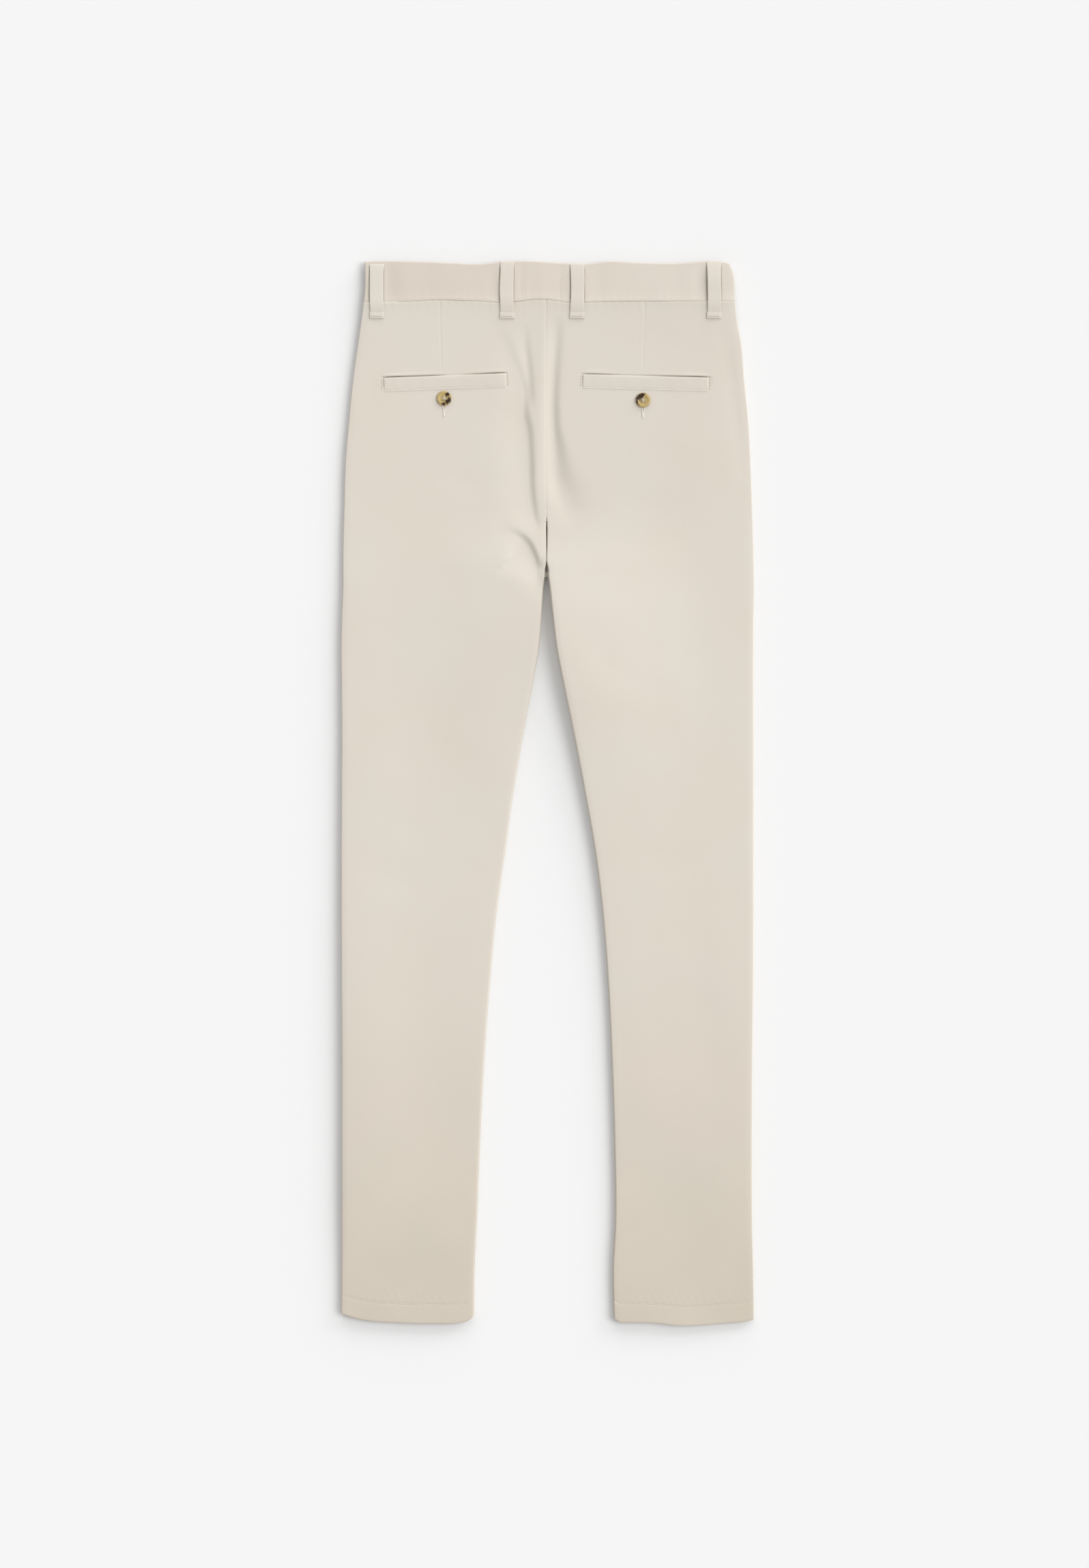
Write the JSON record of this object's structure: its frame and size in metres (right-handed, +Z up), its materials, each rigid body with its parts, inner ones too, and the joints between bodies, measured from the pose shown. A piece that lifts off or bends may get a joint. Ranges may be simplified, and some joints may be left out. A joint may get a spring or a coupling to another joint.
{
  "type": "chino trousers",
  "caption": "Slim chino trousers laid flat with the back up: waistband with belt loops, buttoned welt pockets, tapered legs and stitched hems.",
  "frame": {"origin": "the middle of the garment's outline, on the surface that it lies on", "axes": "+Y towards the waist, +X towards the wearer's right, +Z up out of the back of the garment"},
  "size_m": [0.4295, 1.104, 0.0206],
  "materials": {
    "twill": "pale stone cotton twill, matt, finely ribbed",
    "thread": "polyester sewing thread in the cloth's colour",
    "button": "horn-effect polyester, mottled tan and dark brown, polished"
  },
  "bodies": {
    "root": {"back_left": "twill", "back_right": "twill", "front_left": "twill", "front_right": "twill", "waistband_back": "twill", "waistband_front_left": "twill", "waistband_front_right": "twill", "loop_back_outer_left": "twill", "loop_back_inner_left": "twill", "loop_back_inner_right": "twill", "loop_back_outer_right": "twill", "loop_front_left": "twill", "loop_front_right": "twill", "welt_left": "twill", "welt_right": "twill", "pocket_button_left": "button", "pocket_button_right": "button", "waist_button": "button"}
  },
  "joints": []
}
